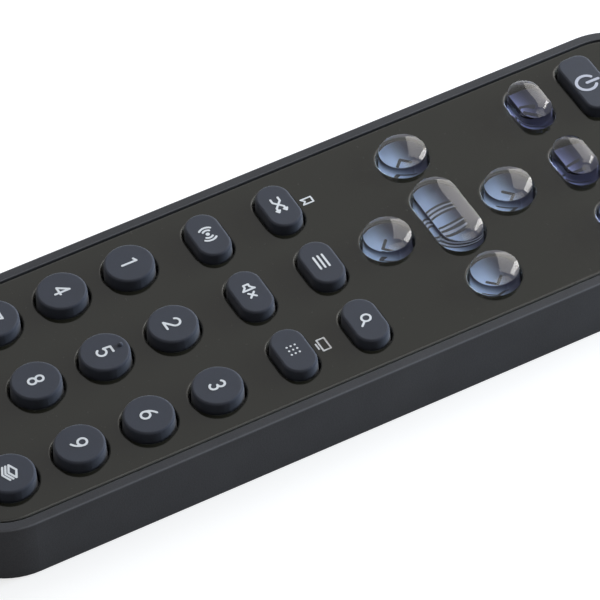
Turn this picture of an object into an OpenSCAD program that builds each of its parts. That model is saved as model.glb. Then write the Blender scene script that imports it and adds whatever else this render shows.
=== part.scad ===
// Slim remote handset with a gloss face plate, rubber keys and clear acrylic keys.
// It runs on one coin cell in a tray that slides out of the lower end.
// X is across the handset, Y runs towards the infrared end, Z points up out of the keys.
// The origin lies on the back, in the middle of the handset.

/* [Key layout] */
// Distance between the columns of number keys
col_pitch = 12.8; // [12:0.1:15]
// Distance between the rows of number keys
row_pitch = 10.1; // [9.8:0.1:13]
// Outer column of number keys to the side of the case
side_margin = 8.4; // [8:0.05:12]
// Lowest row of number keys to the lower end of the case
pad_margin = 10.1; // [9.5:0.1:14]
// Top row of number keys to the first row of function keys
function_gap = 11.6; // [10:0.1:15]
// Distance between the two rows of function keys
function_pitch = 10.8; // [8:0.1:14]
// Outer function keys from the middle line
function_x = 12.2; // [11:0.1:13]
// Second row of function keys to the middle of the navigation keys
nav_gap = 19.4; // [18:0.1:24]
// Left and right navigation keys from the long key
nav_reach_x = 12.7; // [12.3:0.1:14]
// Up and down navigation keys from the long key
nav_reach_y = 9.35; // [9:0.05:11]
// Middle of the navigation keys to the row of clear oblong keys
upper_gap = 19.85; // [18.5:0.05:24]
// Outer clear oblong keys from the middle line
upper_x = 12.4; // [11:0.1:13]
// Row of clear oblong keys to the power key
power_gap = 8.8; // [8:0.1:12]
// Power key from the middle line, towards the left side
power_x = 11.7; // [8:0.1:12]
// Power key to the infrared end of the case
top_margin = 13.1; // [13:0.05:20]

/* [Rubber keys] */
// Diameter of a number key at its top
key_d = 6.9; // [5.5:0.1:7.4]
// Height of a number key above the face plate
key_rise = 1.5; // [1:0.1:3]
// Width of a function key at its top
oblong_w = 4.8; // [4:0.1:6]
// Length of a function key at its top
oblong_l = 8.2; // [6.5:0.1:9.5]
// Height of a function key or the power key above the face plate
oblong_rise = 1.4; // [1:0.1:3]
// Width of the power key at its top
power_w = 4.8; // [4.5:0.1:6]
// Length of the power key at its top
power_l = 10.8; // [8:0.1:11.5]
// Corner radius of the power key at its top
power_corner_r = 1.8; // [1.2:0.1:2.2]
// Growth of a key's radius from its top down to its flange
key_draft = 0.15; // [0.05:0.05:0.3]
// Radius of the edge round the top of a rubber key
key_edge_r = 0.35; // [0.1:0.05:0.6]
// Radius of the raised dot on the middle number key
dot_r = 0.35; // [0.2:0.05:0.5]
// Raised dot from the middle of its key
dot_y = 2.35; // [1.8:0.05:2.6]

/* [Clear keys] */
// Diameter of a round navigation key at its top
nav_d = 6.6; // [5.5:0.1:7]
// Height of the navigation keys' edge above the face plate
nav_rise = 1.45; // [1:0.05:3]
// Width of the long navigation key at its top
long_w = 6; // [5:0.1:6.5]
// Length of the long navigation key at its top
long_l = 13.1; // [11:0.1:13.5]
// Width of a clear oblong key at its top
upper_w = 4.5; // [4:0.1:5.5]
// Length of a clear oblong key at its top
upper_l = 7.8; // [6.5:0.1:9]
// Height of the clear oblong keys' edge above the face plate
upper_rise = 1.7; // [1:0.05:3]
// Height of the crown on a clear key
crown_h = 0.7; // [0.1:0.05:0.8]
// Radius of the edge round the crown of a clear key
cap_edge_r = 0.15; // [0.1:0.05:0.3]
// Depth of the legend recess under a clear key
legend_recess = 1.1; // [0.5:0.05:1.4]
// Thickness of a clear key's wall round its legend recess
cap_wall = 0.25; // [0.2:0.05:0.8]
// Gap between a clear key's wall and the plunger's head inside it
head_gap = 0.05; // [0.05:0.01:0.15]

/* [Key guides] */
// Gap between a key and the face plate
key_gap = 0.25; // [0.15:0.05:0.4]
// Reach of a key's flange past its opening
flange_lap = 0.45; // [0.3:0.05:0.5]
// Thickness of a key's flange
flange_t = 0.7; // [0.4:0.1:1]
// Gap between a key's flange and the case above it
flange_gap = 0.1; // [0.05:0.05:0.2]
// Height of the plunger under a key's flange
plunger_t = 0.6; // [0.3:0.1:1]
// Step from a key's side in to its plunger
plunger_inset = 0.8; // [0.5:0.1:1]
// Travel of a key
key_travel = 0.8; // [0.4:0.1:1.2]
// Gap left under a pressed key
stop_gap = 0.05; // [0.02:0.01:0.1]

/* [Case] */
// Radius of the case's corners, seen from above
corner_r = 9.6; // [8:0.1:11]
// Thickness of the side walls
wall = 1.8; // [1.5:0.1:2]
// Thickness of the skirt round the back cover
skirt = 1; // [0.7:0.1:1.2]
// Gap between the back cover and the skirt
cover_gap = 0.12; // [0.05:0.01:0.3]
// Thickness of the back cover
back_t = 1.2; // [1:0.1:1.6]
// Thickness of the web that guides the keys
web_t = 1.1; // [0.6:0.1:1.5]
// Width of the rim round the face plate
rim_w = 1.5; // [1.2:0.1:2.2]
// Height of the rim above the face plate
rim_lip = 0.05; // [0.05:0.05:1]
// Radius of the rim's outer edge
rim_edge_r = 0.3; // [0.2:0.05:0.8]
// Radius of the rim's inner edge
rim_inner_r = 0.15; // [0.05:0.05:0.3]
// Radius of the case's edge round the back
back_edge_r = 0.3; // [0.1:0.05:0.5]
// Thickness of the face plate
plate_t = 1.1; // [0.6:0.05:1.5]
// Gap between the face plate and the rim
plate_gap = 0.35; // [0.1:0.05:0.6]
// Radius of the edge round the outside of the face plate
plate_edge_r = 0.2; // [0.05:0.05:0.4]
// Radius of the edge round the holes in the face plate
hole_edge_r = 0.2; // [0.05:0.05:0.4]
// Thickness of the adhesive film under the face plate
film_t = 0.15; // [0.05:0.05:0.2]
// Step from the face plate's edges in to the film's edges
film_inset = 0.25; // [0.1:0.05:0.5]

/* [Circuit] */
// Thickness of the circuit board
board_t = 1; // [0.8:0.1:1.6]
// Gap between the circuit board and the case
board_gap = 0.35; // [0.2:0.05:0.6]
// Thickness of the rubber key mat
mat_t = 0.7; // [0.5:0.1:0.8]
// Gap between the key mat and what passes through it
mat_gap = 0.2; // [0.1:0.05:0.25]
// Step from the circuit board's edge in to the key mat's edge
mat_inset = 0.3; // [0.1:0.1:0.6]
// Thickness of the printed contact pads
pad_t = 0.05; // [0.03:0.01:0.1]
// Gap between the two halves of a contact pad
pad_split = 0.4; // [0.2:0.1:0.8]

/* [Battery] */
// Diameter of the coin cell
cell_d = 20; // [16:0.1:20]
// Thickness of the coin cell
cell_t = 2.5; // [2:0.1:3.2]
// Gap between the cell and its tray
cell_gap = 0.15; // [0.1:0.05:0.3]
// Thickness of the tray's floor
tray_floor = 0.7; // [0.5:0.1:0.8]
// Thickness of the tray's side wall
tray_wall = 0.9; // [0.7:0.1:1.2]
// Thickness of the tray's outer end
tray_face = 1.6; // [1.2:0.1:1.8]
// Width of the runner on each side of the tray
runner_w = 0.8; // [0.5:0.1:1.2]
// Thickness of the runners
runner_t = 0.8; // [0.5:0.1:1.2]
// Gap between the tray and its bay
tray_gap = 0.15; // [0.1:0.05:0.3]
// Height left for the contacts between the cell and the board
contact_room = 0.45; // [0.3:0.05:0.6]
// Thickness of the contact springs
contact_t = 0.15; // [0.1:0.05:0.2]
// Gap between the contacts and the cell
contact_gap = 0.03; // [0.02:0.01:0.1]

/* [Fasteners] */
// Diameter of a screw's shank
screw_d = 1.7; // [1.4:0.1:2]
// Diameter of a screw's head
screw_head_d = 3; // [2.6:0.1:3.2]
// Depth of a screw's head below the back
screw_sink = 0.25; // [0.1:0.05:0.4]
// Diameter of the screw bosses
boss_d = 3.6; // [3.5:0.1:4]
// Clearance round a screw
screw_gap = 0.1; // [0.05:0.05:0.2]
// Gap between a boss and the side wall
boss_gap = 0.25; // [0.15:0.05:0.5]
// Upper bosses from the infrared end
boss_end = 6; // [5:0.1:7]
// Upper bosses from the side of the case
boss_side = 7.15; // [6:0.05:8]

/* [Infrared end] */
// Diameter of the infrared light's lens
led_d = 3; // [2.5:0.1:3.1]
// Length of the infrared light, dome included
led_l = 4.4; // [4:0.1:5]
// Width of the infrared window
window_w = 9; // [7:0.1:12]
// Height of the infrared window
window_h = 2.6; // [2:0.1:2.7]
// Reach of the window's flange inside the end wall
window_lap = 0.4; // [0.2:0.1:0.5]
// Thickness of the window's flange
window_flange_t = 0.6; // [0.4:0.1:0.8]
// Gap round the infrared window
window_gap = 0.08; // [0.05:0.01:0.15]

/* [Hidden] */
$fn = 64;
// Overlap that keeps cuts and joined solids from sharing a face
bite = 0.2;
edge_steps = 6;
// Height by which a rounded edge passes the face it touches, so that the two meet cleanly
edge_cross = 0.005;

// The key grid sets the outline of the case
body_w = 2 * (col_pitch + side_margin);
body_l = pad_margin + 3 * row_pitch + function_gap + function_pitch
       + nav_gap + upper_gap + power_gap + top_margin;
lower_end = -body_l / 2;
upper_end = body_l / 2;
case_reach = [body_w / 2 - corner_r, body_l / 2 - corner_r];

// Heights, from the back up
tray_z = tray_gap;
cell_z = tray_z + tray_floor;
board_z = cell_z + cell_t + contact_room;
board_top = board_z + board_t;
plunger_z = board_top + pad_t + stop_gap + key_travel;
flange_z = plunger_z + plunger_t;
flange_top = flange_z + flange_t;
web_z = flange_top + flange_gap;
web_top = web_z + web_t;
legend_z = flange_z + legend_recess;
plate_z = web_top + film_t;
plate_top = plate_z + plate_t;
body_h = plate_top + rim_lip;

// Rows of keys, from the lower end up
pad_y = [for (row = [3:-1:0]) lower_end + pad_margin + row * row_pitch];
source_y = pad_y[0] + function_gap;
menu_y = source_y + function_pitch;
nav_y = menu_y + nav_gap;
upper_y = nav_y + upper_gap;
power_y = upper_y + power_gap;

// A key is its name, its place, the reach of its corner centres, their radius and its rise
function key_name(key) = key[0];
function key_place(key) = [key[1].x, key[1].y, 0];
function key_reach(key) = key[2];
function key_top_r(key) = key[3];
function key_base_r(key) = key[3] + key_draft;
function key_hole_r(key) = key_base_r(key) + key_gap;
function key_flange_r(key) = key_hole_r(key) + flange_lap;
function key_plunger_r(key) = key_base_r(key) - plunger_inset;
function key_recess_r(key) = key_base_r(key) - cap_wall;
function key_top(key) = plate_top + key[4];

function round_key(name, place, d, rise) = [name, place, [0, 0], d / 2, rise];
function oblong_key(name, place, w, l, rise) = [name, place, [(l - w) / 2, 0], w / 2, rise];

pad_names = [["key_1", "key_2", "key_3"],
             ["key_4", "key_5", "key_6"],
             ["key_7", "key_8", "key_9"],
             ["key_recall", "key_0", "key_bank"]];
function_names = [["key_radio", "key_mute", "key_direct"],
                  ["key_mix", "key_menu", "key_scan"]];
upper_names = ["upper_left", "upper_middle", "upper_right"];
dotted_key = "key_5";

number_keys = [for (row = [0:3], col = [0:2])
    round_key(pad_names[row][col], [(col - 1) * col_pitch, pad_y[row]], key_d, key_rise)];
function_keys = [for (row = [0:1], col = [0:2])
    oblong_key(function_names[row][col], [(col - 1) * function_x, [source_y, menu_y][row]],
               oblong_w, oblong_l, oblong_rise)];
power_key = ["key_power", [-power_x, power_y],
    [power_l / 2 - power_corner_r, power_w / 2 - power_corner_r], power_corner_r, oblong_rise];
rubber_keys = concat(number_keys, function_keys, [power_key]);

clear_keys = concat(
    [round_key("up", [0, nav_y + nav_reach_y], nav_d, nav_rise),
     round_key("down", [0, nav_y - nav_reach_y], nav_d, nav_rise),
     round_key("left", [-nav_reach_x, nav_y], nav_d, nav_rise),
     round_key("right", [nav_reach_x, nav_y], nav_d, nav_rise),
     oblong_key("long", [0, nav_y], long_w, long_l, nav_rise)],
    [for (col = [0:2])
     oblong_key(upper_names[col], [(col - 1) * upper_x, upper_y], upper_w, upper_l, upper_rise)]);
all_keys = concat(rubber_keys, clear_keys);

// Coin cell and its tray, which close the lower end
cell_bay_r = cell_d / 2 + cell_gap;
tray_r = cell_bay_r + tray_wall;
runner_reach = tray_r + runner_w;
cell_y = lower_end + tray_face + cell_bay_r;
runner_z = back_t + tray_gap;
tray_top = cell_z + cell_t - contact_gap;
thumb_w = 9;
thumb_l = 1.4;
thumb_depth = 0.3;
thumb_y = lower_end + tray_face + thumb_l;
guide_t = 0.8;
can_edge = 0.25;
lid_step = 1;

// Contact springs on the underside of the board
contact_w = 3;
contact_l = 8;
dimple_d = 1.6;
tab_w = 4;
tab_l = 4;
tab_lift = 0.7;
tab_clear = 0.4;

// Screws clamp the board between the bosses and the posts of the back cover
boss_low = [body_w / 2 - wall - boss_gap - boss_d / 2, pad_y[3] + row_pitch / 2];
boss_high = [body_w / 2 - boss_side, upper_end - boss_end];
bosses = [for (place = [boss_low, boss_high], side = [-1, 1]) [side * place.x, place.y, 0]];
pilot_top = web_top - web_t / 2;
screw_tip_gap = 0.3;
thread_gap = 0.02;
drive_w = 0.45;
drive_l = 1.9;
drive_depth = 0.5;

// Infrared light and its window, which close the upper end
lead_t = 0.4;
lead_pitch = 2.54;
lead_l = 2;
led_collar_lap = 0.25;
led_collar_t = 0.8;
led_z = board_top + lead_t / 2;
window_inner = upper_end - wall - window_flange_t;
led_tip_gap = 0.3;
led_base = window_inner - led_tip_gap - led_l;
notch_reach = window_w / 2 + window_lap + board_gap;
notch_y = led_base - board_gap;
mat_end = power_y + power_w / 2 + key_draft + key_gap + flange_lap + mat_gap + mat_t;

// Small parts under the board, spread along the middle of it
chip_size = [5.3, 8.2, 1.6];
chip_place = [0, menu_y];
chip_lead = [1.1, 0.35, 0.2];
chip_lead_pitch = 0.65;
chip_leads = 10;
resonator_size = [3.2, 7, 1.2];
resonator_place = chip_place + [8, 0];
capacitor_d = 4;
capacitor_h = 1.7;
capacitor_base = 0.4;
capacitor_place = chip_place + [-9, 5];
transistor_size = [2.9, 1.3, 1];
transistor_lead = [0.4, 0.55, 0.2];
transistor_gap = 6;
transistor_place = [4, notch_y - transistor_gap];
resistor_size = [1.6, 0.8, 0.45];
resistor_pitch = 1.8;
resistor_count = 5;
resistor_place = chip_place + [-8, -6];

function arc(centre, r, from, to) =
    [for (i = [0:edge_steps]) let (a = from + (to - from) * i / edge_steps)
        centre + r * [cos(a), sin(a)]];

// Flat rounded outline: circles of radius r round the corner centres, and what lies between them
module rounded_outline(reach, r) {
    if (reach.y > 0) square([2 * (reach.x + r), 2 * reach.y], center = true);
    if (reach.x > 0) square([2 * reach.x, 2 * (reach.y + r)], center = true);
    for (x = reach.x > 0 ? [-1, 1] : [0], y = reach.y > 0 ? [-1, 1] : [0])
        translate([x * reach.x, y * reach.y]) circle(r);
}

// Solid of a radius and height profile carried round the corner centres, filled between z and top
module rounded_solid(reach, z, top) {
    if (reach.x == 0) {
        rotate_extrude() children();
    } else if (reach.y == 0) {
        for (turn = [0, 180]) rotate(turn) {
            translate([reach.x, 0, 0]) rotate(-90) rotate_extrude(angle = 180) children();
            rotate([90, 0, 90]) linear_extrude(2 * reach.x, center = true) children();
        }
    } else {
        for (turn = [0, 180]) rotate(turn) {
            translate([reach.x, reach.y, 0]) rotate_extrude(angle = 90) children();
            translate([-reach.x, reach.y, 0]) rotate(90) rotate_extrude(angle = 90) children();
            translate([0, reach.y, 0]) rotate([90, 0, 90])
                linear_extrude(2 * reach.x, center = true) children();
            translate([reach.x, 0, 0]) rotate([90, 0, 0])
                linear_extrude(2 * reach.y, center = true) children();
        }
        translate([-reach.x, -reach.y, z]) cube([2 * reach.x, 2 * reach.y, top - z]);
    }
}

// The outline of the case, drawn in by an inset
module case_outline(inset) {
    rounded_outline(case_reach, corner_r - inset);
}

module case_slab(z, top, inset) {
    translate([0, 0, z]) linear_extrude(top - z) case_outline(inset);
}

// Cutter for an opening from z up to top, with a rounded edge round its mouth
module eased_opening(reach, r, z, top, edge_r) {
    rounded_solid(reach, z, top + bite) polygon(concat(
        [[0, z], [r, z]],
        arc([r + edge_r, top - edge_r + edge_cross], edge_r, 180, 90),
        [[r + edge_r, top + bite], [0, top + bite]]));
}

// Every key's hole in the face plate, grown by a margin
module key_outlines(growth) {
    for (key = all_keys) translate(key_place(key))
        rounded_outline(key_reach(key), key_hole_r(key) + growth);
}

module window_outline(growth) {
    rounded_outline([(window_w - window_h) / 2, 0], window_h / 2 + growth);
}

// The tray seen from above: round behind the cell and straight to the lower end
module tray_outline(growth) {
    translate([0, cell_y]) circle(tray_r + growth);
    translate([-tray_r - growth, lower_end - bite])
        square([2 * (tray_r + growth), cell_y - lower_end + bite]);
}

// The wide outer end of the tray, grown by a margin and reaching a depth into the case
module tray_end(z, top, growth, depth) {
    translate([-runner_reach - growth, lower_end - bite, z])
        cube([2 * (runner_reach + growth), depth + bite, top - z]);
}

// Moulded case: walls, raised rim, a web that guides the keys, and bosses for the screws
module upper_case() {
    color("dimgray") difference() {
        union() {
            difference() {
                rounded_solid(case_reach, 0, body_h) polygon(concat(
                    [[0, 0]],
                    arc([corner_r - back_edge_r, back_edge_r], back_edge_r, -90, 0),
                    arc([corner_r - rim_edge_r, body_h - rim_edge_r], rim_edge_r, 0, 90),
                    [[0, body_h]]));
                case_slab(-bite, back_t, skirt);
                case_slab(0, web_z, wall);
                eased_opening(case_reach, corner_r - rim_w, web_top, body_h, rim_inner_r);
            }
            for (place = bosses) translate(place + [0, 0, board_top])
                cylinder(d = boss_d, h = web_z - board_top + bite);
        }
        translate([0, 0, web_z - bite]) linear_extrude(web_t + 2 * bite) key_outlines(0);
        for (place = bosses) translate(place + [0, 0, board_top - bite])
            cylinder(d = screw_d + 2 * thread_gap, h = pilot_top - board_top + bite);
        tray_end(-bite, tray_top + tray_gap, tray_gap, cell_y - lower_end);
        translate([0, upper_end + bite, led_z]) rotate([90, 0, 0])
            linear_extrude(wall + 2 * bite) window_outline(window_gap);
    }
}

// Gloss plate with rounded edges, laid inside the rim
module face_plate() {
    plate_r = corner_r - rim_w - plate_gap;
    color([0.09, 0.09, 0.09]) difference() {
        rounded_solid(case_reach, plate_z, plate_top) polygon(concat(
            [[0, plate_z], [plate_r, plate_z]],
            arc([plate_r - plate_edge_r, plate_top - plate_edge_r], plate_edge_r, 0, 90),
            [[0, plate_top]]));
        for (key = all_keys) translate(key_place(key))
            eased_opening(key_reach(key), key_hole_r(key), plate_z - bite, plate_top, hole_edge_r);
    }
}

// Adhesive film that holds the face plate on the web
module face_film() {
    color("whitesmoke") translate([0, 0, web_top]) linear_extrude(film_t) difference() {
        case_outline(rim_w + plate_gap + film_inset);
        key_outlines(film_inset);
    }
}

// Flat cover inside the skirt, with the bay for the tray and a post under each boss
module back_cover() {
    color([0.22, 0.22, 0.23]) difference() {
        union() {
            case_slab(0, back_t, skirt + cover_gap);
            for (place = bosses) translate(place) cylinder(d = boss_d, h = board_z);
            for (side = [0, 1]) mirror([side, 0, 0])
                translate([runner_reach + tray_gap, lower_end + wall + board_gap, 0])
                    cube([guide_t, cell_y - lower_end - wall, tray_top]);
        }
        translate([0, 0, -bite]) linear_extrude(back_t + 2 * bite) tray_outline(tray_gap);
        tray_end(-bite, back_t + bite, tray_gap, tray_face + tray_gap);
        for (place = bosses) translate(place + [0, 0, -bite]) {
            cylinder(d = screw_head_d + 2 * screw_gap, h = back_t + bite);
            cylinder(d = screw_d + 2 * screw_gap, h = board_z + 2 * bite);
        }
    }
}

// Four cross-head screws, driven from the back
module case_screws() {
    color("silver") for (place = bosses) translate(place) difference() {
        union() {
            translate([0, 0, screw_sink]) cylinder(d = screw_head_d, h = back_t - screw_sink);
            cylinder_between(screw_d, back_t - bite, pilot_top - screw_tip_gap);
        }
        for (turn = [0, 90]) rotate(turn) translate([-drive_l / 2, -drive_w / 2, 0])
            cube([drive_l, drive_w, screw_sink + drive_depth]);
    }
}

module cylinder_between(d, z, top) {
    translate([0, 0, z]) cylinder(d = d, h = top - z);
}

// Rubber sheet on the board, open round every key and boss and clear of the light's leads
module key_mat() {
    color([0.25, 0.26, 0.28]) translate([0, 0, board_top]) linear_extrude(mat_t) difference() {
        intersection() {
            case_outline(wall + board_gap + mat_inset);
            translate([-body_w / 2, lower_end]) square([body_w, mat_end - lower_end]);
        }
        key_outlines(flange_lap + mat_gap);
        for (place = bosses) translate(place) circle(d = boss_d + 2 * mat_gap);
        translate([-lead_pitch, led_base - lead_l - mat_gap])
            square([2 * lead_pitch, lead_l + mat_gap + led_l]);
    }
}

module circuit_board() {
    color("darkgreen") translate([0, 0, board_z]) linear_extrude(board_t) difference() {
        case_outline(wall + board_gap);
        translate([-notch_reach, notch_y]) square([2 * notch_reach, upper_end - notch_y]);
        for (place = bosses) translate(place) circle(d = screw_d + 2 * screw_gap);
    }
}

// Printed carbon pads, two halves under every key
module contact_pads() {
    color([0.12, 0.12, 0.12]) for (key = all_keys)
        translate(key_place(key) + [0, 0, board_top]) linear_extrude(pad_t) difference() {
            rounded_outline(key_reach(key), key_plunger_r(key));
            square([pad_split, body_w], center = true);
        }
}

// Flat chip with a row of leads down each long side
module controller_chip() {
    color([0.1, 0.1, 0.1]) translate([chip_place.x, chip_place.y, board_z]) {
        translate([-chip_size.x / 2, -chip_size.y / 2, -chip_size.z]) cube(chip_size);
        for (i = [0:chip_leads - 1])
            translate([0, (i - (chip_leads - 1) / 2) * chip_lead_pitch, -chip_lead.z / 2])
                cube([chip_size.x + 2 * chip_lead.x, chip_lead.y, chip_lead.z], center = true);
    }
}

module ceramic_resonator() {
    reach = [0, (resonator_size.y - resonator_size.x) / 2];
    color("goldenrod") translate([resonator_place.x, resonator_place.y, board_z - resonator_size.z])
        linear_extrude(resonator_size.z) rounded_outline(reach, resonator_size.x / 2);
}

// Can on a square foot
module capacitor() {
    color("silver") translate([capacitor_place.x, capacitor_place.y, board_z - capacitor_h]) {
        cylinder(d = capacitor_d, h = capacitor_h);
        translate([-capacitor_d / 2, -capacitor_d / 2, capacitor_h - capacitor_base])
            cube([capacitor_d, capacitor_d, capacitor_base]);
    }
}

// Three-legged transistor that drives the infrared light
module transistor() {
    color([0.1, 0.1, 0.1]) translate([transistor_place.x, transistor_place.y, board_z]) {
        translate([0, 0, -transistor_size.z / 2]) cube(transistor_size, center = true);
        for (leg = [[-0.33, -1], [0.33, -1], [0, 1]])
            translate([leg.x * transistor_size.x, leg.y * (transistor_size.y + transistor_lead.y) / 2,
                       -transistor_lead.z / 2])
                cube(transistor_lead + [0, bite, 0], center = true);
    }
}

module chip_resistors() {
    color([0.15, 0.15, 0.15]) for (i = [0:resistor_count - 1])
        translate([resistor_place.x, resistor_place.y + i * resistor_pitch, board_z - resistor_size.z])
            cube(resistor_size);
}

// Infrared light that looks out of the upper end
module infrared_led() {
    color([0.25, 0.2, 0.3]) translate([0, led_base, led_z]) rotate([-90, 0, 0]) {
        cylinder(d = led_d + 2 * led_collar_lap, h = led_collar_t);
        cylinder(d = led_d, h = led_l - led_d / 2);
        translate([0, 0, led_l - led_d / 2]) sphere(d = led_d);
    }
}

module led_leads() {
    color("silver") for (side = [-1, 1])
        translate([side * lead_pitch / 2 - lead_t / 2, led_base - lead_l, board_top])
            cube([lead_t, lead_l, lead_t]);
}

// Smoked window in the end wall, held by a flange inside it
module infrared_window() {
    color([0.12, 0.08, 0.1]) translate([0, upper_end, led_z]) rotate([90, 0, 0]) {
        linear_extrude(wall) window_outline(0);
        translate([0, 0, wall]) linear_extrude(window_flange_t) window_outline(window_lap);
    }
}

// Spring strip under the board, with a dimple on the cell's face
module cell_top_contact() {
    color("gold") {
        translate([-contact_w / 2, cell_y - contact_l, board_z - contact_t])
            cube([contact_w, contact_l + contact_w, contact_t]);
        translate([0, cell_y, 0])
            cylinder_between(dimple_d, cell_z + cell_t + contact_gap, board_z - contact_t / 2);
    }
}

// Bent tab under the board, on the cell's rim
module cell_side_contact() {
    tab_y = cell_y + cell_d / 2 + contact_gap;
    color("gold") translate([-tab_w / 2, tab_y, 0]) {
        translate([0, 0, board_z - contact_t]) cube([tab_w, tab_l, contact_t]);
        translate([0, 0, cell_z + tab_lift]) cube([tab_w, contact_t, board_z - cell_z - tab_lift]);
    }
}

// Tray that carries the cell on two runners and closes the bay with its outer end
module battery_tray() {
    color([0.22, 0.22, 0.23]) intersection() {
        difference() {
            union() {
                translate([0, 0, tray_z]) linear_extrude(tray_top - tray_z) tray_outline(0);
                tray_end(tray_z, tray_top, 0, tray_face);
                translate([-runner_reach, lower_end, runner_z])
                    cube([2 * runner_reach, cell_y - lower_end, runner_t]);
            }
            translate([0, cell_y, 0]) cylinder_between(2 * cell_bay_r, cell_z, tray_top + bite);
            translate([-tab_w / 2 - tab_clear, cell_y, cell_z])
                cube([tab_w + 2 * tab_clear, tray_r + bite, cell_t]);
            translate([0, thumb_y, 0]) linear_extrude(tray_z + thumb_depth)
                rounded_outline([(thumb_w - thumb_l) / 2, 0], thumb_l / 2);
        }
        case_slab(0, body_h, 0);
    }
}

// Lithium coin cell: a can with its smaller lid on top
module coin_cell() {
    r = cell_d / 2;
    color("silver") translate([0, cell_y, cell_z]) rotate_extrude() polygon(
        [[0, 0], [r - can_edge, 0], [r, can_edge], [r, cell_t - 2 * can_edge],
         [r - can_edge, cell_t - can_edge], [r - lid_step, cell_t - can_edge],
         [r - lid_step - can_edge, cell_t], [0, cell_t]]);
}

// Rubber key: plunger, flange, tapered body and a rounded top edge
module rubber_key(key) {
    top = key_top(key);
    top_r = key_top_r(key);
    color([0.28, 0.29, 0.33]) translate(key_place(key)) {
        rounded_solid(key_reach(key), plunger_z, top) polygon(concat(
            [[0, plunger_z], [key_plunger_r(key), plunger_z], [key_plunger_r(key), flange_z],
             [key_flange_r(key), flange_z], [key_flange_r(key), flange_top],
             [key_base_r(key), flange_top]],
            arc([top_r - key_edge_r, top - key_edge_r], key_edge_r, 0, 90),
            [[0, top]]));
        if (key_name(key) == dotted_key) translate([0, dot_y, top]) sphere(dot_r);
    }
}

// Clear acrylic key: flange, tapered body, crowned top and a recess for its legend underneath.
// The rounded edge touches the crown.
module clear_cap(key) {
    top_r = key_top_r(key);
    crown_top = key_top(key) + crown_h;
    crown_r = (top_r * top_r + crown_h * crown_h) / (2 * crown_h);
    crown_z = crown_top - crown_r;
    edge_x = top_r - cap_edge_r;
    edge_turn = acos(edge_x / (crown_r - cap_edge_r));
    edge_z = crown_z + edge_x * tan(edge_turn) + edge_cross;
    recess_r = key_recess_r(key);
    color([0.7, 0.77, 0.9]) translate(key_place(key))
        rounded_solid(key_reach(key), legend_z, crown_top) intersection() {
            polygon(concat(
                [[0, legend_z], [recess_r, legend_z], [recess_r, flange_z],
                 [key_flange_r(key), flange_z], [key_flange_r(key), flange_top],
                 [key_base_r(key), flange_top]],
                arc([edge_x, edge_z], cap_edge_r, 0, edge_turn),
                [[edge_x + cap_edge_r * cos(edge_turn), crown_top], [0, crown_top]]));
            translate([0, crown_z]) circle(crown_r);
        }
}

// Rubber plunger under a clear key, with a head that fills the key's legend recess
module key_plunger(key) {
    plunger_r = key_plunger_r(key);
    head_r = key_recess_r(key) - head_gap;
    color([0.75, 0.78, 0.84]) translate(key_place(key))
        rounded_solid(key_reach(key), plunger_z, legend_z) polygon(
            [[0, plunger_z], [plunger_r, plunger_z], [plunger_r, flange_z],
             [head_r, flange_z], [head_r, legend_z], [0, legend_z]]);
}

upper_case();
face_plate();
face_film();
back_cover();
case_screws();
key_mat();
circuit_board();
contact_pads();
controller_chip();
ceramic_resonator();
capacitor();
transistor();
chip_resistors();
infrared_led();
led_leads();
infrared_window();
cell_top_contact();
cell_side_contact();
battery_tray();
coin_cell();
for (key = rubber_keys)
    rubber_key(key);
for (key = clear_keys)
    clear_cap(key);
for (key = clear_keys)
    key_plunger(key);
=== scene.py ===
import math

import bmesh
import bpy
import numpy as np
from mathutils import Matrix, Vector


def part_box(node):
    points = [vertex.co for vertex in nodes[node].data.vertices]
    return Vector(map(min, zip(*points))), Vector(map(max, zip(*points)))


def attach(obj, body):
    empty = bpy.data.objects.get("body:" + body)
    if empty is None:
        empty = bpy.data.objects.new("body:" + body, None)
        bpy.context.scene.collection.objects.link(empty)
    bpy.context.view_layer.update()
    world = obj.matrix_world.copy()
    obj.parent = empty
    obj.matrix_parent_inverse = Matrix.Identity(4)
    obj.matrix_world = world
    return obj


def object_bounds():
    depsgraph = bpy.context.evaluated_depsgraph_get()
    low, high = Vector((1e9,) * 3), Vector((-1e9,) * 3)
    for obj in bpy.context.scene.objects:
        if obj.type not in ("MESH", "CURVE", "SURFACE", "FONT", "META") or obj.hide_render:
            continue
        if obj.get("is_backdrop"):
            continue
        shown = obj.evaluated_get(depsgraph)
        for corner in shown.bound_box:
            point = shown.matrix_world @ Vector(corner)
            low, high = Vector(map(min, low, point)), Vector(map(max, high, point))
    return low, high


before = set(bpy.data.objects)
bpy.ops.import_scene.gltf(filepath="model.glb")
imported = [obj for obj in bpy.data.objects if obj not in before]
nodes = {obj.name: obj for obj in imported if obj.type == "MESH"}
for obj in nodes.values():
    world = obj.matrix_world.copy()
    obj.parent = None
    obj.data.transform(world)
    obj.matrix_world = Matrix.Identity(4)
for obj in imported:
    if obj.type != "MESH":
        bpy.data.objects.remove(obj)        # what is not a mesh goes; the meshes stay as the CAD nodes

cad_low, cad_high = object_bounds()


# Upper case
# The charcoal shell that carries everything: walls, rim and the web that guides the keys.
# It is moulded in ABS with a fine spark-eroded grain; its edges are rubbed smoother and carry a painted
# highlight.
mm = 0.001


def place_node(tree, kind, values=None, **settings):
    """Adds a node, sets or links its inputs, and returns its outputs."""
    made = tree.nodes.new(kind)
    for name, value in settings.items():
        setattr(made, name, value)
    for socket, value in (values or {}).items():
        if isinstance(value, bpy.types.NodeSocket):
            tree.links.new(value, made.inputs[socket])
        else:
            made.inputs[socket].default_value = value
    return made.outputs


def reckon(tree, operation, *terms):
    """A sum in the node tree, such as MULTIPLY_ADD of three terms."""
    return place_node(tree, "ShaderNodeMath", dict(enumerate(terms)), operation=operation)["Value"]


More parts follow.
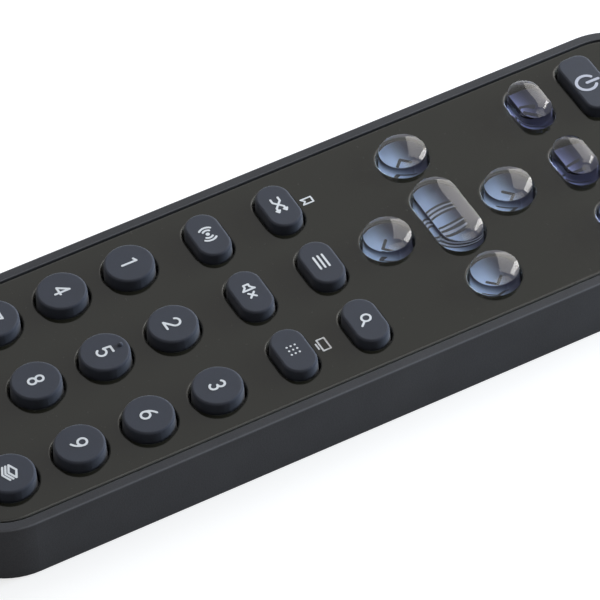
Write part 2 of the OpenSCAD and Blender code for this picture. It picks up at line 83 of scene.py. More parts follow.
def noise(tree, spot, per_metre, detail=2.0):
    """Noise around zero, about -0.4 to 0.4, with the given number of features per metre."""
    found = place_node(tree, "ShaderNodeTexNoise", {"Vector": spot, "Scale": per_metre, "Detail": detail})
    return reckon(tree, "SUBTRACT", found["Fac"], 0.5)


def flatness(tree, normal):
    """1 where the surface lies flat and 0 where it stands upright."""
    upward = place_node(tree, "ShaderNodeSeparateXYZ", {"Vector": normal})["Z"]
    return reckon(tree, "MULTIPLY", upward, upward)


def shaded(tree, color, shade):
    """The colour made lighter or darker by the shade."""
    scaled = {0: color, "Scale": shade}
    return place_node(tree, "ShaderNodeVectorMath", scaled, operation="SCALE")["Vector"]


def start_group(name, inputs):
    """A shader node group with named inputs, where a tuple is a colour."""
    tree = bpy.data.node_groups.new(name, "ShaderNodeTree")
    for socket, value in inputs.items():
        kind = "NodeSocketColor" if isinstance(value, tuple) else "NodeSocketFloat"
        tree.interface.new_socket(socket, in_out="INPUT", socket_type=kind).default_value = value
    return tree, tree.nodes.new("NodeGroupInput").outputs


def end_group(tree, color, roughness, height):
    """Gives the group the three outputs that every finish reads."""
    for socket, kind in (("Color", "Color"), ("Roughness", "Float"), ("Height", "Float")):
        tree.interface.new_socket(socket, in_out="OUTPUT", socket_type="NodeSocket" + kind)
    ends = tree.nodes.new("NodeGroupOutput").inputs
    tree.links.new(color, ends["Color"])
    tree.links.new(roughness, ends["Roughness"])
    tree.links.new(height, ends["Height"])
    return tree


def make_moulded_grain():
    """Cloudy shade, fine grain, and edges rubbed smoother by hands, with a painted highlight that makes
    them paler.
    """
    tree, given = start_group("Moulded grain", {
        "Color": (0.03, 0.03, 0.03, 1.0), "Cloud": 0.3, "Speckle": 0.3, "Grain per m": 4200.0,
        "Roughness": 0.5, "Polish and Painted Highlight": 0.1})
    place = place_node(tree, "ShaderNodeTexCoord")
    cloud = noise(tree, place["Object"], per_metre=95.0, detail=3.0)
    grain = noise(tree, place["Object"], per_metre=given["Grain per m"])
    flat = flatness(tree, place["Normal"])
    turned = reckon(tree, "MULTIPLY", reckon(tree, "SUBTRACT", 1.0, flat), flat)
    polish_and_highlight = reckon(tree, "MULTIPLY", turned, reckon(tree, "MULTIPLY", given["Polish and Painted Highlight"], 4.0))
    shade = reckon(tree, "MULTIPLY_ADD", cloud, given["Cloud"], 1.0)
    shade = reckon(tree, "MULTIPLY_ADD", grain, given["Speckle"], shade)
    # The turned edges are painted paler as a highlight; their lower roughness below is rubbing.
    shade = reckon(tree, "ADD", shade, polish_and_highlight)
    roughness = reckon(tree, "MULTIPLY_ADD", grain, 0.2, given["Roughness"])
    roughness = reckon(tree, "SUBTRACT", roughness, reckon(tree, "MULTIPLY", polish_and_highlight, 0.5))
    return end_group(tree, shaded(tree, given["Color"], shade), roughness, grain)


def finish(name, effect, look, bump, depth, worn_edge=0.0, **plain):
    """A material: an effect for colour, roughness and relief, and plain values on the shader itself.

    worn_edge is the radius to which the edges are shaded round.
    """
    material = bpy.data.materials.new(name)
    material.use_nodes = True
    tree = material.node_tree
    shader = tree.nodes["Principled BSDF"]
    for socket, value in plain.items():
        shader.inputs[socket.replace("_", " ")].default_value = value
    found = place_node(tree, "ShaderNodeGroup", look, node_tree=effect)
    relief = {"Height": found["Height"], "Strength": bump, "Distance": depth}
    if worn_edge:
        relief["Normal"] = place_node(tree, "ShaderNodeBevel", {"Radius": worn_edge}, samples=8)["Normal"]
    tree.links.new(found["Color"], shader.inputs["Base Color"])
    tree.links.new(found["Roughness"], shader.inputs["Roughness"])
    tree.links.new(place_node(tree, "ShaderNodeBump", relief)["Normal"], shader.inputs["Normal"])
    return material


def dress(material, *names):
    """Puts the material on CAD nodes."""
    for name in names:
        nodes[name].material_slots[0].material = material


moulded_grain = make_moulded_grain()
charcoal = (0.052, 0.052, 0.056, 1.0)
# A strong Polish paints a pale highlight along the rim's rounded edges.
case_plastic = finish(
    "case_plastic_grain", moulded_grain,
    {"Color": charcoal, "Cloud": 0.5, "Speckle": 0.5, "Roughness": 0.52, "Polish and Painted Highlight": 1.4},
    bump=0.35, depth=0.05 * mm, Specular_IOR_Level=0.08)
dress(case_plastic, "upper_case")


# Face plate and its film
# A smoked acrylic plate, cast glossy, with paler cut edges, laid in the rim with a groove round it.
# A die-cut adhesive film holds it on the web.
def mixed(tree, share, color, other):
    """A colour between two: the first at share 0, the other at share 1."""
    # A Mix node lists its sockets for numbers and vectors before those for colours.
    return place_node(tree, "ShaderNodeMix", {0: share, 6: color, 7: other}, data_type="RGBA")[2]


def make_handled_gloss():
    """A shiny skin with slow smears, sparse dust, a trace of unevenness and matt, paler cut edges."""
    tree, given = start_group("Handled gloss", {
        "Color": (0.02, 0.02, 0.02, 1.0), "Roughness": 0.2, "Smear": 0.1, "Dust": 0.2,
        "Cut Edge": 0.0})
    place = place_node(tree, "ShaderNodeTexCoord")
    spot = place["Object"]
    steep = reckon(tree, "SUBTRACT", 1.0, flatness(tree, place["Normal"]))
    cut = reckon(tree, "MULTIPLY", steep, given["Cut Edge"])
    smear = noise(tree, spot, per_metre=70.0, detail=4.0)
    speck = reckon(tree, "GREATER_THAN", noise(tree, spot, per_metre=2600.0, detail=0.0), 0.34)
    dust = reckon(tree, "MULTIPLY", speck, given["Dust"])
    color = mixed(tree, dust, given["Color"], (0.30, 0.29, 0.27, 1.0))
    color = mixed(tree, cut, color, (0.30, 0.30, 0.28, 1.0))
    roughness = reckon(tree, "MULTIPLY_ADD", smear, given["Smear"], given["Roughness"])
    roughness = reckon(tree, "MULTIPLY_ADD", dust, 0.3, roughness)
    roughness = reckon(tree, "MULTIPLY_ADD", cut, 0.4, roughness)
    return end_group(tree, color, roughness, noise(tree, spot, per_metre=260.0, detail=1.0))


handled_gloss = make_handled_gloss()
smoke = (0.0118, 0.0115, 0.0078, 1.0)
plate_gloss = finish(
    "plate_gloss_smoked", handled_gloss,
    {"Color": smoke, "Roughness": 0.09, "Smear": 0.06, "Dust": 0.04, "Cut Edge": 0.4},
    bump=0.02, depth=0.05 * mm, worn_edge=0.4 * mm, Specular_IOR_Level=0.38)
dress(plate_gloss, "face_plate")

film_glue = finish(
    "adhesive_film_tacky", moulded_grain,
    {"Color": (0.42, 0.41, 0.37, 1.0), "Cloud": 0.3, "Speckle": 0.2, "Grain per m": 900.0,
     "Roughness": 0.45, "Polish and Painted Highlight": 0.0},
    bump=0.3, depth=0.03 * mm)
dress(film_glue, "face_film")


# Rubber keys
# Slate-grey silicone keys, moulded with a soft top edge and a flange that the web holds down.
# Each rides straight up and down in its guide hole, and its legend is screen-printed on top.
def make_silicone_skin():
    """A dull rubber skin: slight mottling, a fine tooth and a few lighter lint specks."""
    tree, given = start_group("Silicone skin", {
        "Color": (0.06, 0.06, 0.08, 1.0), "Mottle": 0.3, "Roughness": 0.6, "Lint": 0.1})
    spot = place_node(tree, "ShaderNodeTexCoord")["Object"]
    mottle = noise(tree, spot, per_metre=420.0, detail=3.0)
    tooth = noise(tree, spot, per_metre=7000.0, detail=1.0)
    lint = reckon(tree, "GREATER_THAN", noise(tree, spot, per_metre=3200.0, detail=0.0), 0.33)
    shade = reckon(tree, "MULTIPLY_ADD", mottle, given["Mottle"], 1.0)
    shade = reckon(tree, "MULTIPLY_ADD", tooth, reckon(tree, "MULTIPLY", given["Mottle"], 0.6), shade)
    shade = reckon(tree, "MULTIPLY_ADD", lint, given["Lint"], shade)
    roughness = reckon(tree, "MULTIPLY_ADD", mottle, 0.15, given["Roughness"])
    return end_group(tree, shaded(tree, given["Color"], shade), roughness, tooth)


silicone_skin = make_silicone_skin()
slate = (0.0295, 0.0332, 0.0455, 1.0)
key_rubber = finish(
    "key_rubber_slate", silicone_skin,
    {"Color": slate, "Mottle": 0.35, "Roughness": 0.6, "Lint": 0.15},
    bump=0.25, depth=0.03 * mm, Specular_IOR_Level=0.22, Sheen_Weight=0.18, Sheen_Roughness=0.4)
number_keys = ["key_" + name for name in "1 2 3 4 5 6 7 8 9 recall 0 bank".split()]
function_keys = ["key_radio", "key_mute", "key_direct", "key_mix", "key_menu", "key_scan"]
dress(key_rubber, *number_keys, *function_keys, "key_power")


def ink(name, color, mottle):
    """A matt screen-printing ink."""
    look = {"Color": color, "Mottle": mottle, "Roughness": 0.5, "Lint": 0.0}
    return finish(name, silicone_skin, look, bump=0.1, depth=0.02 * mm)


def arc(x, y, radius, start, end):
    """Points along an arc, in mm and degrees, about ten degrees apart."""
    steps = max(4, round(abs(end - start) / 10))
    turns = [math.radians(start + (end - start) * step / steps) for step in range(steps + 1)]
    return [(x + radius * math.cos(turn), y + radius * math.sin(turn)) for turn in turns]


def curve(start, pull, end):
    """Points along a curve from start to end that leans towards pull."""
    shares = [step / 10 for step in range(11)]
    return [tuple((1 - t) ** 2 * a + 2 * t * (1 - t) * b + t * t * c for a, b, c in zip(start, pull, end))
            for t in shares]


def dot(x, y):
    """A round spot as wide as the line."""
    return [(x, y), (x, y)]


ink_t = 0.03 * mm


def print_legend(name, lines, line_w, spot, body, material, pitch=0.06):
    """A printed film: all that lies within half a line's width of the drawn lines, on a fine grid."""
    points = np.array([point for line in lines for point in line])
    low = points.min(0) - line_w
    count = np.ceil((points.max(0) + line_w - low) / pitch).astype(int) + 1
    steps = np.meshgrid(np.arange(count[0]), np.arange(count[1]), indexing="ij")
    grid = low + pitch * np.stack(steps, axis=-1)
    reach = np.full(count, np.inf)
    for line in lines:
        for start, end in zip(line, line[1:]):
            run = np.subtract(end, start)
            along = ((grid - start) @ run) / max(run @ run, 1e-9)
            nearest = np.array(start) + np.clip(along, 0.0, 1.0)[..., None] * run
            reach = np.minimum(reach, np.linalg.norm(grid - nearest, axis=-1))
    reach -= line_w / 2

    made = bmesh.new()
    corners = {}

    def corner(here, there):
        """The vertex on a grid point, or where the film's edge crosses between two of them."""
        if (here, there) not in corners:
            share = 0.0 if here == there else reach[here] / (reach[here] - reach[there])
            x, y = grid[here] + share * (grid[there] - grid[here])
            corners[here, there] = made.verts.new((x * mm, y * mm, 0.0))
        return corners[here, there]

    for i in range(count[0] - 1):
        for j in range(count[1] - 1):
            ring = [(i, j), (i + 1, j), (i + 1, j + 1), (i, j + 1)]
            outline = []
            for here, there in zip(ring, ring[1:] + ring[:1]):
                if reach[here] < 0:
                    outline.append(corner(here, here))
                if (reach[here] < 0) != (reach[there] < 0):
                    outline.append(corner(min(here, there), max(here, there)))
            if len(outline) > 2:
                made.faces.new(outline)
    mesh = bpy.data.meshes.new(name)
    made.to_mesh(mesh)
    made.free()
    mesh.materials.append(material)
    film = bpy.data.objects.new(name, mesh)
    bpy.context.scene.collection.objects.link(film)
    film.location = spot
    thicken = film.modifiers.new("film", "SOLIDIFY")
    thicken.thickness = ink_t
    thicken.offset = 1.0
    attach(film, body)


def top_centre(name):
    """Middle of the top of a CAD node's box."""
    low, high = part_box(name)
    return Vector(((low.x + high.x) / 2, (low.y + high.y) / 2, high.z))


# The digits are drawn as pen strokes, centred, with half_w and half_h to the middle of the line.
digit_line = 0.32
half_w = 0.66
half_h = 1.06
upper_bowl = 0.52
lower_bowl = half_h - upper_bowl
five_bowl = 0.64
six_bowl = 0.62
six_ring = arc(0, six_bowl - half_h, six_bowl, 0, 360)
six_stem = curve((-six_bowl, half_h - 1.5), (-0.55, 0.55), (0.32, half_h))
digits = {
    "1": [[(-0.38, half_h - 0.24), (0.12, half_h), (0.12, -half_h)]],
    "2": [arc(0, half_h - half_w, half_w, 165, -40) + [(-half_w, -half_h), (half_w, -half_h)]],
    "3": [arc(0, half_h - upper_bowl, upper_bowl, 150, -90),
          arc(0, lower_bowl - half_h, lower_bowl, 90, -150)],
    "4": [[(0.32, -half_h), (0.32, half_h), (-half_w, -0.42), (half_w, -0.42)]],
    "5": [[(0.55, half_h), (-0.42, half_h), (-0.52, 0.08)]
          + arc(0, five_bowl - half_h, five_bowl, 135, -145)],
    "6": [six_stem, six_ring],
    "7": [[(-half_w, half_h), (half_w, half_h), (-0.22, -half_h)]],
    "8": [arc(0, half_h - upper_bowl, upper_bowl, 0, 360),
          arc(0, lower_bowl - half_h, lower_bowl, 0, 360)],
    "9": [[(-x, -y) for x, y in line] for line in (six_stem, six_ring)],
    "0": [[(half_w * math.cos(turn), half_h * math.sin(turn)) for turn in np.linspace(0, math.tau, 37)]],
}
legend_white = ink("legend_ink_white", (0.65, 0.665, 0.69, 1.0), mottle=0.12)
# The box of key_5 ends at its raised dot, so every digit lies as high as the one on key_1.
number_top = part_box("key_1")[1].z
for digit, lines in digits.items():
    key = "key_" + digit
    spot = top_centre(key)
    spot.z = number_top
    print_legend("legend_" + digit, lines, digit_line, spot, key, legend_white)

# The other keys carry plain pictograms, drawn with a thinner line.
icon_line = 0.30
dots_x = 0.72
dots_y = 0.60
pictograms = {
    "recall": [arc(0, 0, 0.95, 150, -150), [(-1.35, 0.75), (-0.82, 0.48), (-0.55, 1.02)]],
    "bank": [[(0, 1.0), (1.2, 0.45), (0, -0.1), (-1.2, 0.45), (0, 1.0)],
             [(-1.2, 0.0), (0, -0.55), (1.2, 0.0)], [(-1.2, -0.45), (0, -1.0), (1.2, -0.45)]],
    "radio": [arc(0, 0, 0.14, 0, 360)] + [
        arc(0, 0, radius, side - 42, side + 42) for radius in (0.72, 1.25) for side in (0, 180)],
    "mute": [[(-1.3, 0.35), (-0.85, 0.35), (-0.3, 0.85), (-0.3, -0.85), (-0.85, -0.35), (-1.3, -0.35),
              (-1.3, 0.35)], [(0.3, 0.42), (1.15, -0.42)], [(0.3, -0.42), (1.15, 0.42)]],
    "direct": [dot(dots_x * column, dots_y * row) for row in (-1, 0, 1) for column in (-1, 0, 1)],
    "mix": [line for side in (1, -1) for line in (
        [(-1.35, 0.55 * side), (-0.7, 0.55 * side), (0.5, -0.55 * side), (1.3, -0.55 * side)],
        [(0.95, -0.3 * side), (1.3, -0.55 * side), (0.95, -0.8 * side)])],
    "menu": [[(-1.15, y), (1.15, y)] for y in (-0.65, 0.0, 0.65)],
    "scan": [arc(-0.2, 0.22, 0.62, 0, 360), [(0.26, -0.24), (0.9, -0.9)]],
}
for name, lines in pictograms.items():
    key = "key_" + name
    print_legend("legend_" + name, lines, icon_line, top_centre(key), key, legend_white)

# The power sign is larger and bolder, in a greyer ink, and stands a little off the middle.
legend_grey = ink("legend_ink_grey", (0.42, 0.43, 0.50, 1.0), mottle=0.12)
power_line = 0.44
power_r = 1.40
power_shift = Vector((0.25, -0.35, 0)) * mm
power_sign = [arc(0, 0, power_r, 125, 415), [(0, 0.1), (0, 1.3 * power_r)]]
spot = top_centre("key_power") + power_shift
print_legend("legend_power", power_sign, power_line, spot, "key_power", legend_grey)

# Two small marks are printed on the plate, above the keys that they belong to.
mark_line = 0.24
mark_rise = 4.3 * mm
plate_marks = {
    "mark_saved": ("key_mix", [
        [(-0.5, 0.75), (0.5, 0.75), (0.5, -0.75), (0, -0.3), (-0.5, -0.75), (-0.5, 0.75)]]),
    "mark_screen": ("key_direct", [
        [(-1.05, 0.75), (1.05, 0.75), (1.05, -0.35), (-1.05, -0.35), (-1.05, 0.75)],
        [(-0.5, -0.75), (0.5, -0.75)]]),
}
plate_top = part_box("face_plate")[1].z
for name, (key, lines) in plate_marks.items():
    spot = top_centre(key) + Vector((0, mark_rise, 0))
    spot.z = plate_top
    print_legend(name, lines, mark_line, spot, "handset", legend_white)


# Clear keys and their plungers
# Crowned keys of clear acrylic, the upper three tinted, each seated on a milky rubber plunger.
# Each plunger's head carries a blue print with painted shade and a dark sign, seen through the crown.
round_keys = ["up", "down", "left", "right"]
upper_keys = ["upper_left", "upper_middle", "upper_right"]
acrylics = {
    "key_acrylic_clear": ((0.90, 0.93, 0.98, 1.0), round_keys + ["long"]),
    "key_acrylic_tinted": ((0.72, 0.76, 1.0, 1.0), upper_keys),
}
for slot, (color, names) in acrylics.items():
    acrylic = finish(
        slot, handled_gloss, {"Color": color, "Roughness": 0.04, "Smear": 0.05, "Dust": 0.02},
        bump=0.01, depth=0.02 * mm, Transmission_Weight=1.0, IOR=1.49)
    dress(acrylic, *["cap_" + name for name in names])

plunger_rubber = finish(
    "plunger_rubber_milky", silicone_skin,
    {"Color": (0.55, 0.62, 0.74, 1.0), "Mottle": 0.1, "Roughness": 0.55, "Lint": 0.0},
    bump=0.1, depth=0.02 * mm)
dress(plunger_rubber, *["plunger_" + name for name in round_keys + ["long"] + upper_keys])


def make_print_with_painted_shade():
    """Blue ink with painted shade: from a lit colour to a shaded one along Y."""
    tree, given = start_group("Print with painted shade", {
        "Lit Color": (0.5, 0.6, 0.9, 1.0), "Shaded Color": (0.03, 0.04, 0.08, 1.0),
        "Shade Start": -1.0 * mm, "Shade End": 1.0 * mm})
    spot = place_node(tree, "ShaderNodeTexCoord")["Object"]
    along = place_node(tree, "ShaderNodeSeparateXYZ", {"Vector": spot})["Y"]
    shade_ramp = {"Value": along, "From Min": given["Shade Start"], "From Max": given["Shade End"]}
    share = place_node(tree, "ShaderNodeMapRange", shade_ramp, interpolation_type="SMOOTHSTEP")["Result"]
    color = mixed(tree, share, given["Lit Color"], given["Shaded Color"])
    mottle = noise(tree, spot, per_metre=900.0)
    return end_group(tree, color, reckon(tree, "MULTIPLY_ADD", mottle, 0.2, 0.5), mottle)


sign_dark = ink("sign_ink_dark", (0.012, 0.014, 0.022, 1.0), mottle=0.2)
sign_line = 0.34
chevron = [(-0.22, -0.87), (0.62, 0.0), (-0.22, 0.87)]


def pointing(line, degrees, x=0.0):
    """The line moved along by x and turned to point the given way."""
    turn = Matrix.Rotation(math.radians(degrees), 2)
    return [tuple(turn @ Vector((point[0] + x, point[1]))) for point in line]


wave_r = 5.5
wave_x = 1.9
wave_gap = 0.74
wave_half = 1.5


def waves(steps, half_l):
    """Arcs across both halves of the long key, the given steps out from wave_x, bulging to its ends."""
    half_turn = math.degrees(math.asin(half_l / wave_r))
    lines = [arc(wave_x + step * wave_gap - wave_r, 0, wave_r, -half_turn, half_turn) for step in steps]
    return [pointing(line, degrees) for degrees in (180, 0) for line in lines]


signs = {
    "up": [pointing(chevron, 90)],
    "down": [pointing(chevron, -90)],
    "left": [pointing(chevron, 180)],
    "right": [pointing(chevron, 0)],
    "long": waves((-1, 0, 1), wave_half),
    "upper_left": [pointing(chevron, 180, x) for x in (-0.5, 0.5)],
    "upper_middle": [[(x, -0.9), (x, 0.9)] for x in (-0.45, 0.45)],
    "upper_right": [pointing(chevron, 0, x) for x in (-0.5, 0.5)],
}
# The print's painted shade is darkest towards the upper end, and is given in shares of its half width.
print_with_painted_shade = make_print_with_painted_shade()
print_pitch = 0.25
print_painted_shade = (0.035, 0.038, 0.085, 1.0)
shade_start = -0.25
shade_end = 0.5
printed_alike = {
    "round": ((0.50, 0.66, 0.95, 1.0), round_keys),
    "long": ((0.44, 0.58, 0.85, 1.0), ["long"]),
    "oblong": ((0.46, 0.52, 0.84, 1.0), upper_keys),
}
for shape, (pale, names) in printed_alike.items():
    low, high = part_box("plunger_" + names[0])
    print_r = (high.y - low.y) / 2
    print_reach = (high.x - low.x) / 2 - print_r
    # The blue goes from its lit colour to a painted shade across the plunger's head.
    print_blue_painted_shade = finish(
        "print_ink_blue_painted_shade_" + shape, print_with_painted_shade,
        {"Lit Color": pale, "Shaded Color": print_painted_shade,
         "Shade Start": shade_start * print_r, "Shade End": shade_end * print_r},
        bump=0.1, depth=0.02 * mm)
    middle_line = [[(-print_reach / mm, 0), (print_reach / mm, 0)]]
    for name in names:
        body = "clear_" + name
        spot = top_centre("plunger_" + name)
        print_legend("print_" + name, middle_line, 2 * print_r / mm, spot, body, print_blue_painted_shade, print_pitch)
        spot.z += ink_t
        print_legend("sign_" + name, signs[name], sign_line, spot, body, sign_dark)

# The long key has thinner pale waves between its dark ones.
sign_pale = ink("sign_ink_pale", (0.50, 0.54, 0.66, 1.0), mottle=0.2)
pale_line = 0.22
pale_half = 1.4
spot = top_centre("plunger_long")
spot.z += ink_t
print_legend("sign_long_pale", waves((-0.5, 0.5), pale_half), pale_line, spot, "clear_long", sign_pale)


# Key mat
# One sheet of dark silicone that lies on the board under the web, open round every key.
# It keeps dust off the board and is held by the bosses.
mat_rubber = finish(
    "mat_rubber_dark", silicone_skin,
    {"Color": (0.030, 0.031, 0.034, 1.0), "Mottle": 0.4, "Roughness": 0.7, "Lint": 0.3},
    bump=0.3, depth=0.03 * mm)
dress(mat_rubber, "key_mat")


# Circuit board and what is soldered on it
# A green glass-epoxy board with printed carbon pads under the keys, clamped between case and cover.
# The chip, resonator, capacitor, transistor and resistors are soldered to its lower side.
def make_glass_weave():
    """Solder mask over woven glass: two crossed sets of threads and a cloudy tint."""
    tree, given = start_group("Glass weave", {
        "Color": (0.02, 0.10, 0.04, 1.0), "Threads per m": 700.0, "Roughness": 0.35})
    spot = place_node(tree, "ShaderNodeTexCoord")["Object"]
    threads = [
        place_node(tree, "ShaderNodeTexWave", {"Vector": spot, "Scale": given["Threads per m"]},
                   bands_direction=direction)["Fac"]
        for direction in "XY"]
    weave = reckon(tree, "MULTIPLY", *threads)
    cloud = noise(tree, spot, per_metre=120.0, detail=3.0)
    shade = reckon(tree, "MULTIPLY_ADD", cloud, 0.4, 0.9)
    shade = reckon(tree, "MULTIPLY_ADD", weave, 0.25, shade)
    roughness = reckon(tree, "MULTIPLY_ADD", weave, 0.1, given["Roughness"])
    return end_group(tree, shaded(tree, given["Color"], shade), roughness, weave)


def make_plated_metal():
    """Bright plating with fine scratches along X and dull patches of tarnish."""
    tree, given = start_group("Plated metal", {
        "Color": (0.6, 0.6, 0.58, 1.0), "Tarnish Color": (0.25, 0.23, 0.2, 1.0), "Tarnish": 0.3,
        "Roughness": 0.3})
    spot = place_node(tree, "ShaderNodeTexCoord")["Object"]
    stretched = {0: spot, 1: (0.08, 1.0, 1.0)}
    drawn = place_node(tree, "ShaderNodeVectorMath", stretched, operation="MULTIPLY")["Vector"]
    scratch = noise(tree, drawn, per_metre=9000.0)
    patch = reckon(tree, "ADD", noise(tree, spot, per_metre=400.0, detail=4.0), 0.5)
    dull = reckon(tree, "MULTIPLY", patch, given["Tarnish"])
    color = mixed(tree, dull, given["Color"], given["Tarnish Color"])
    roughness = reckon(tree, "MULTIPLY_ADD", scratch, 0.2, given["Roughness"])
    roughness = reckon(tree, "MULTIPLY_ADD", dull, 0.3, roughness)
    return end_group(tree, color, roughness, scratch)


board_laminate = finish(
    "board_laminate_green", make_glass_weave(), {"Color": (0.018, 0.095, 0.040, 1.0)},
    bump=0.2, depth=0.02 * mm)
dress(board_laminate, "circuit_board")

small_parts = {
    "contact_pads": ("pad_carbon", (0.012, 0.012, 0.013, 1.0), 2600.0, 0.75),
    "controller_chip": ("chip_epoxy", (0.016, 0.016, 0.017, 1.0), 5200.0, 0.55),
    "transistor": ("transistor_epoxy", (0.016, 0.016, 0.017, 1.0), 5200.0, 0.55),
    "ceramic_resonator": ("resonator_ceramic", (0.55, 0.25, 0.06, 1.0), 3000.0, 0.30),
    "chip_resistors": ("resistor_ceramic", (0.05, 0.05, 0.055, 1.0), 5200.0, 0.40),
}
for name, (slot, color, grain, roughness) in small_parts.items():
    look = {"Color": color, "Cloud": 0.3, "Speckle": 0.4, "Grain per m": grain,
            "Roughness": roughness, "Polish and Painted Highlight": 0.1}
    dress(finish(slot + "_grain", moulded_grain, look, bump=0.3, depth=0.02 * mm), name)

plated_metal = make_plated_metal()


def metal(name, look, bump):
    """A plated or polished metal."""
    return finish(name, plated_metal, look, bump, depth=0.01 * mm, Metallic=1.0)


capacitor_can = metal(
    "capacitor_can_drawn", {"Color": (0.66, 0.66, 0.65, 1.0), "Tarnish": 0.2, "Roughness": 0.35},
    bump=0.15)
dress(capacitor_can, "capacitor")


# Infrared sender and its window
# A clear epoxy sender on two tinned leads looks out of the upper end of the case.
# A smoked window, snapped into the end wall, hides it from the eye and lets infrared through.
led_epoxy = finish(
    "led_epoxy_clear", handled_gloss,
    {"Color": (0.86, 0.88, 0.95, 1.0), "Roughness": 0.06, "Smear": 0.05, "Dust": 0.02},
    bump=0.01, depth=0.02 * mm, Transmission_Weight=1.0, IOR=1.54)
dress(led_epoxy, "infrared_led")

lead_tin = metal(
    "lead_tin_dipped", {"Color": (0.62, 0.61, 0.58, 1.0), "Tarnish": 0.4, "Roughness": 0.3},
    bump=0.2)
dress(lead_tin, "led_leads")

window_smoked = finish(
    "window_smoked_gloss", handled_gloss,
    {"Color": (0.010, 0.005, 0.007, 1.0), "Roughness": 0.10, "Smear": 0.08, "Dust": 0.1},
    bump=0.02, depth=0.03 * mm)
dress(window_smoked, "infrared_window")


# Cell contacts
# Two springs of nickel-plated steel strip, stamped and bent, that press on the cell's face and rim.
# Their feet are soldered to the board.
contact_spring = metal(
    "contact_spring_nickel", {"Color": (0.64, 0.62, 0.57, 1.0), "Tarnish": 0.35, "Roughness": 0.28},
    bump=0.2)
dress(contact_spring, "cell_top_contact", "cell_side_contact")


# Back cover and screws
# A flat moulded cover, plain and grained as the case, that closes it from below.
# Four cross-head screws go through its posts into the bosses of the case.
cover_plastic = finish(
    "cover_plastic_grain", moulded_grain,
    {"Color": charcoal, "Cloud": 0.4, "Speckle": 0.5, "Roughness": 0.56, "Polish and Painted Highlight": 0.8},
    bump=0.4, depth=0.05 * mm, Specular_IOR_Level=0.08)
dress(cover_plastic, "back_cover")

screw_steel = metal(
    "screw_steel_blackened",
    {"Color": (0.16, 0.16, 0.165, 1.0), "Tarnish Color": (0.05, 0.05, 0.05, 1.0), "Tarnish": 0.5,
     "Roughness": 0.32},
    bump=0.2)
dress(screw_steel, "case_screws")


# Battery tray and cell
# A small moulded drawer that slides in at the lower end and holds a flat lithium cell.
# The tray is the cover's plastic. The cell is a crimped can of stainless steel.
dress(cover_plastic, "battery_tray")
cell_steel = metal(
    "cell_steel_brushed", {"Color": (0.68, 0.67, 0.65, 1.0), "Tarnish": 0.15, "Roughness": 0.25},
    bump=0.15)
dress(cell_steel, "coin_cell")


# Studio
# A plain white table that keeps the handset's soft shadow, under a sky that is white to the eye.
# A broad and a narrow lamp stand behind it, a weak one above, and a low cool one at its upper end.
def white_to_the_eye(tree):
    """1 for what is seen, straight, in a reflection or through a clear key, and 0 for light on things."""
    path = place_node(tree, "ShaderNodeLightPath")
    seen = reckon(tree, "MAXIMUM", path["Is Camera Ray"], path["Is Glossy Ray"])
    seen = reckon(tree, "MAXIMUM", seen, path["Is Transmission Ray"])
    return reckon(tree, "MULTIPLY", seen, reckon(tree, "LESS_THAN", path["Diffuse Depth"], 0.5))


ambient = 0.20
world = bpy.data.worlds.new("studio")
bpy.context.scene.world = world
world.use_nodes = True
sky = world.node_tree
sky_light = reckon(sky, "MULTIPLY_ADD", white_to_the_eye(sky), 1.0 - ambient, ambient)
sky.links.new(sky_light, sky.nodes["Background"].inputs["Strength"])
sky.nodes["Background"].inputs["Color"].default_value = (1.0, 1.0, 1.0, 1.0)

table_half = 1.5
table_gap = 0.02 * mm
table_shine = 0.70
table_mesh = bpy.data.meshes.new("table")
table_mesh.from_pydata([(x, y, 0.0) for x, y in ((-1, -1), (1, -1), (1, 1), (-1, 1))], [], [(0, 1, 2, 3)])
table_mesh.transform(Matrix.Scale(table_half, 4))
table = bpy.data.objects.new("table", table_mesh)
table.location.z = cad_low.z - table_gap
bpy.context.scene.collection.objects.link(table)
table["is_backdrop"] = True
table_white = bpy.data.materials.new("table_white")
table_white.use_nodes = True
tree = table_white.node_tree
paper = tree.nodes["Principled BSDF"]
paper.inputs["Base Color"].default_value = (0.50, 0.50, 0.50, 1.0)
paper.inputs["Roughness"].default_value = 0.9
paper.inputs["Specular IOR Level"].default_value = 0.0
paper.inputs["Emission Color"].default_value = (1.0, 1.0, 1.0, 1.0)
# Under the handset the table stays dark, so that the slits beside the battery tray do too.
tray_slit = 0.3 * mm
dark_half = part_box("battery_tray")[1].x + tray_slit
ground = place_node(tree, "ShaderNodeTexCoord")["Object"]
ground = place_node(tree, "ShaderNodeSeparateXYZ", {"Vector": ground})
across = reckon(tree, "DIVIDE", reckon(tree, "ABSOLUTE", ground["X"]), dark_half)
along = reckon(tree, "DIVIDE", reckon(tree, "ABSOLUTE", ground["Y"]), cad_high.y)
open_table = reckon(tree, "GREATER_THAN", reckon(tree, "MAXIMUM", across, along), 1.0)
shine = reckon(tree, "MULTIPLY", open_table, table_shine)
shine = reckon(tree, "MULTIPLY", white_to_the_eye(tree), shine)
tree.links.new(shine, paper.inputs["Emission Strength"])
table_mesh.materials.append(table_white)


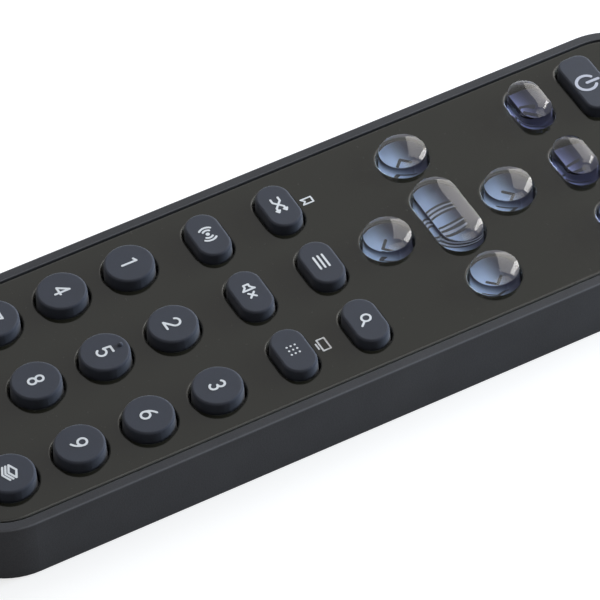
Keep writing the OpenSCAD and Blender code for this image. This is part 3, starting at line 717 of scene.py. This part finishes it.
def soft_lamp(name, towards, across, distance, width, height, radiance, color, mirrored=True):
    """A lamp in the given direction from the handset, facing it, with its width along across.

    One that is not mirrored lights the handset but is not seen in its gloss.
    """
    light = bpy.data.lights.new(name, "AREA")
    light.shape = "RECTANGLE"
    light.size = width
    light.size_y = height
    light.energy = radiance * math.pi * width * height
    light.color = color
    lamp = bpy.data.objects.new(name, light)
    back = Vector(towards).normalized()
    side = (Vector(across) - Vector(across).dot(back) * back).normalized()
    lamp.matrix_world = Matrix((side, back.cross(side), back)).transposed().to_4x4()
    lamp.location = back * distance
    lamp.visible_glossy = mirrored
    bpy.context.scene.collection.objects.link(lamp)


soft_lamp(
    "lamp_back", towards=(-0.504, 0.677, 0.535), across=(0.655, 0.664, -0.361), distance=0.551,
    width=0.27, height=0.59, radiance=2.4, color=(1.0, 0.97, 0.92))
soft_lamp(
    "lamp_right", towards=(-0.02, 0.975, 0.20), across=(1, 0, 0), distance=0.60,
    width=0.55, height=0.20, radiance=31.0, color=(0.74, 0.87, 1.0), mirrored=False)
soft_lamp(
    "lamp_top", towards=(0.148, 0.306, 0.94), across=(1, 0, 0), distance=0.70,
    width=0.35, height=0.35, radiance=1.8, color=(1.0, 0.99, 0.97))
soft_lamp(
    "lamp_edge", towards=(-0.350, 0.765, 0.56), across=(0.698, 0.642, -0.317), distance=0.54,
    width=0.05, height=0.42, radiance=8.0, color=(1.0, 0.99, 0.97))

# The camera stands to the right and looks down across the handset, with its lower end to the left.
look_at = Vector((2.794, -4.022, 8.54)) * mm
camera_distance = 688.4 * mm
azimuth = math.radians(64.21)
elevation = math.radians(46.81)
roll = math.radians(-3.278)
back = Vector((math.sin(azimuth) * math.cos(elevation), -math.cos(azimuth) * math.cos(elevation),
               math.sin(elevation)))
level = Vector((0, 0, 1)).cross(back).normalized()
upright = back.cross(level)
right = math.cos(roll) * level + math.sin(roll) * upright
up = math.cos(roll) * upright - math.sin(roll) * level
lens = bpy.data.cameras.new("camera")
lens.sensor_width = 36.0
lens.lens = 309.7
camera = bpy.data.objects.new("camera", lens)
camera.matrix_world = Matrix((right, up, back)).transposed().to_4x4()
camera.location = look_at + back * camera_distance
bpy.context.scene.collection.objects.link(camera)
bpy.context.scene.camera = camera
bpy.context.scene.view_settings.view_transform = "Standard"

low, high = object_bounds()
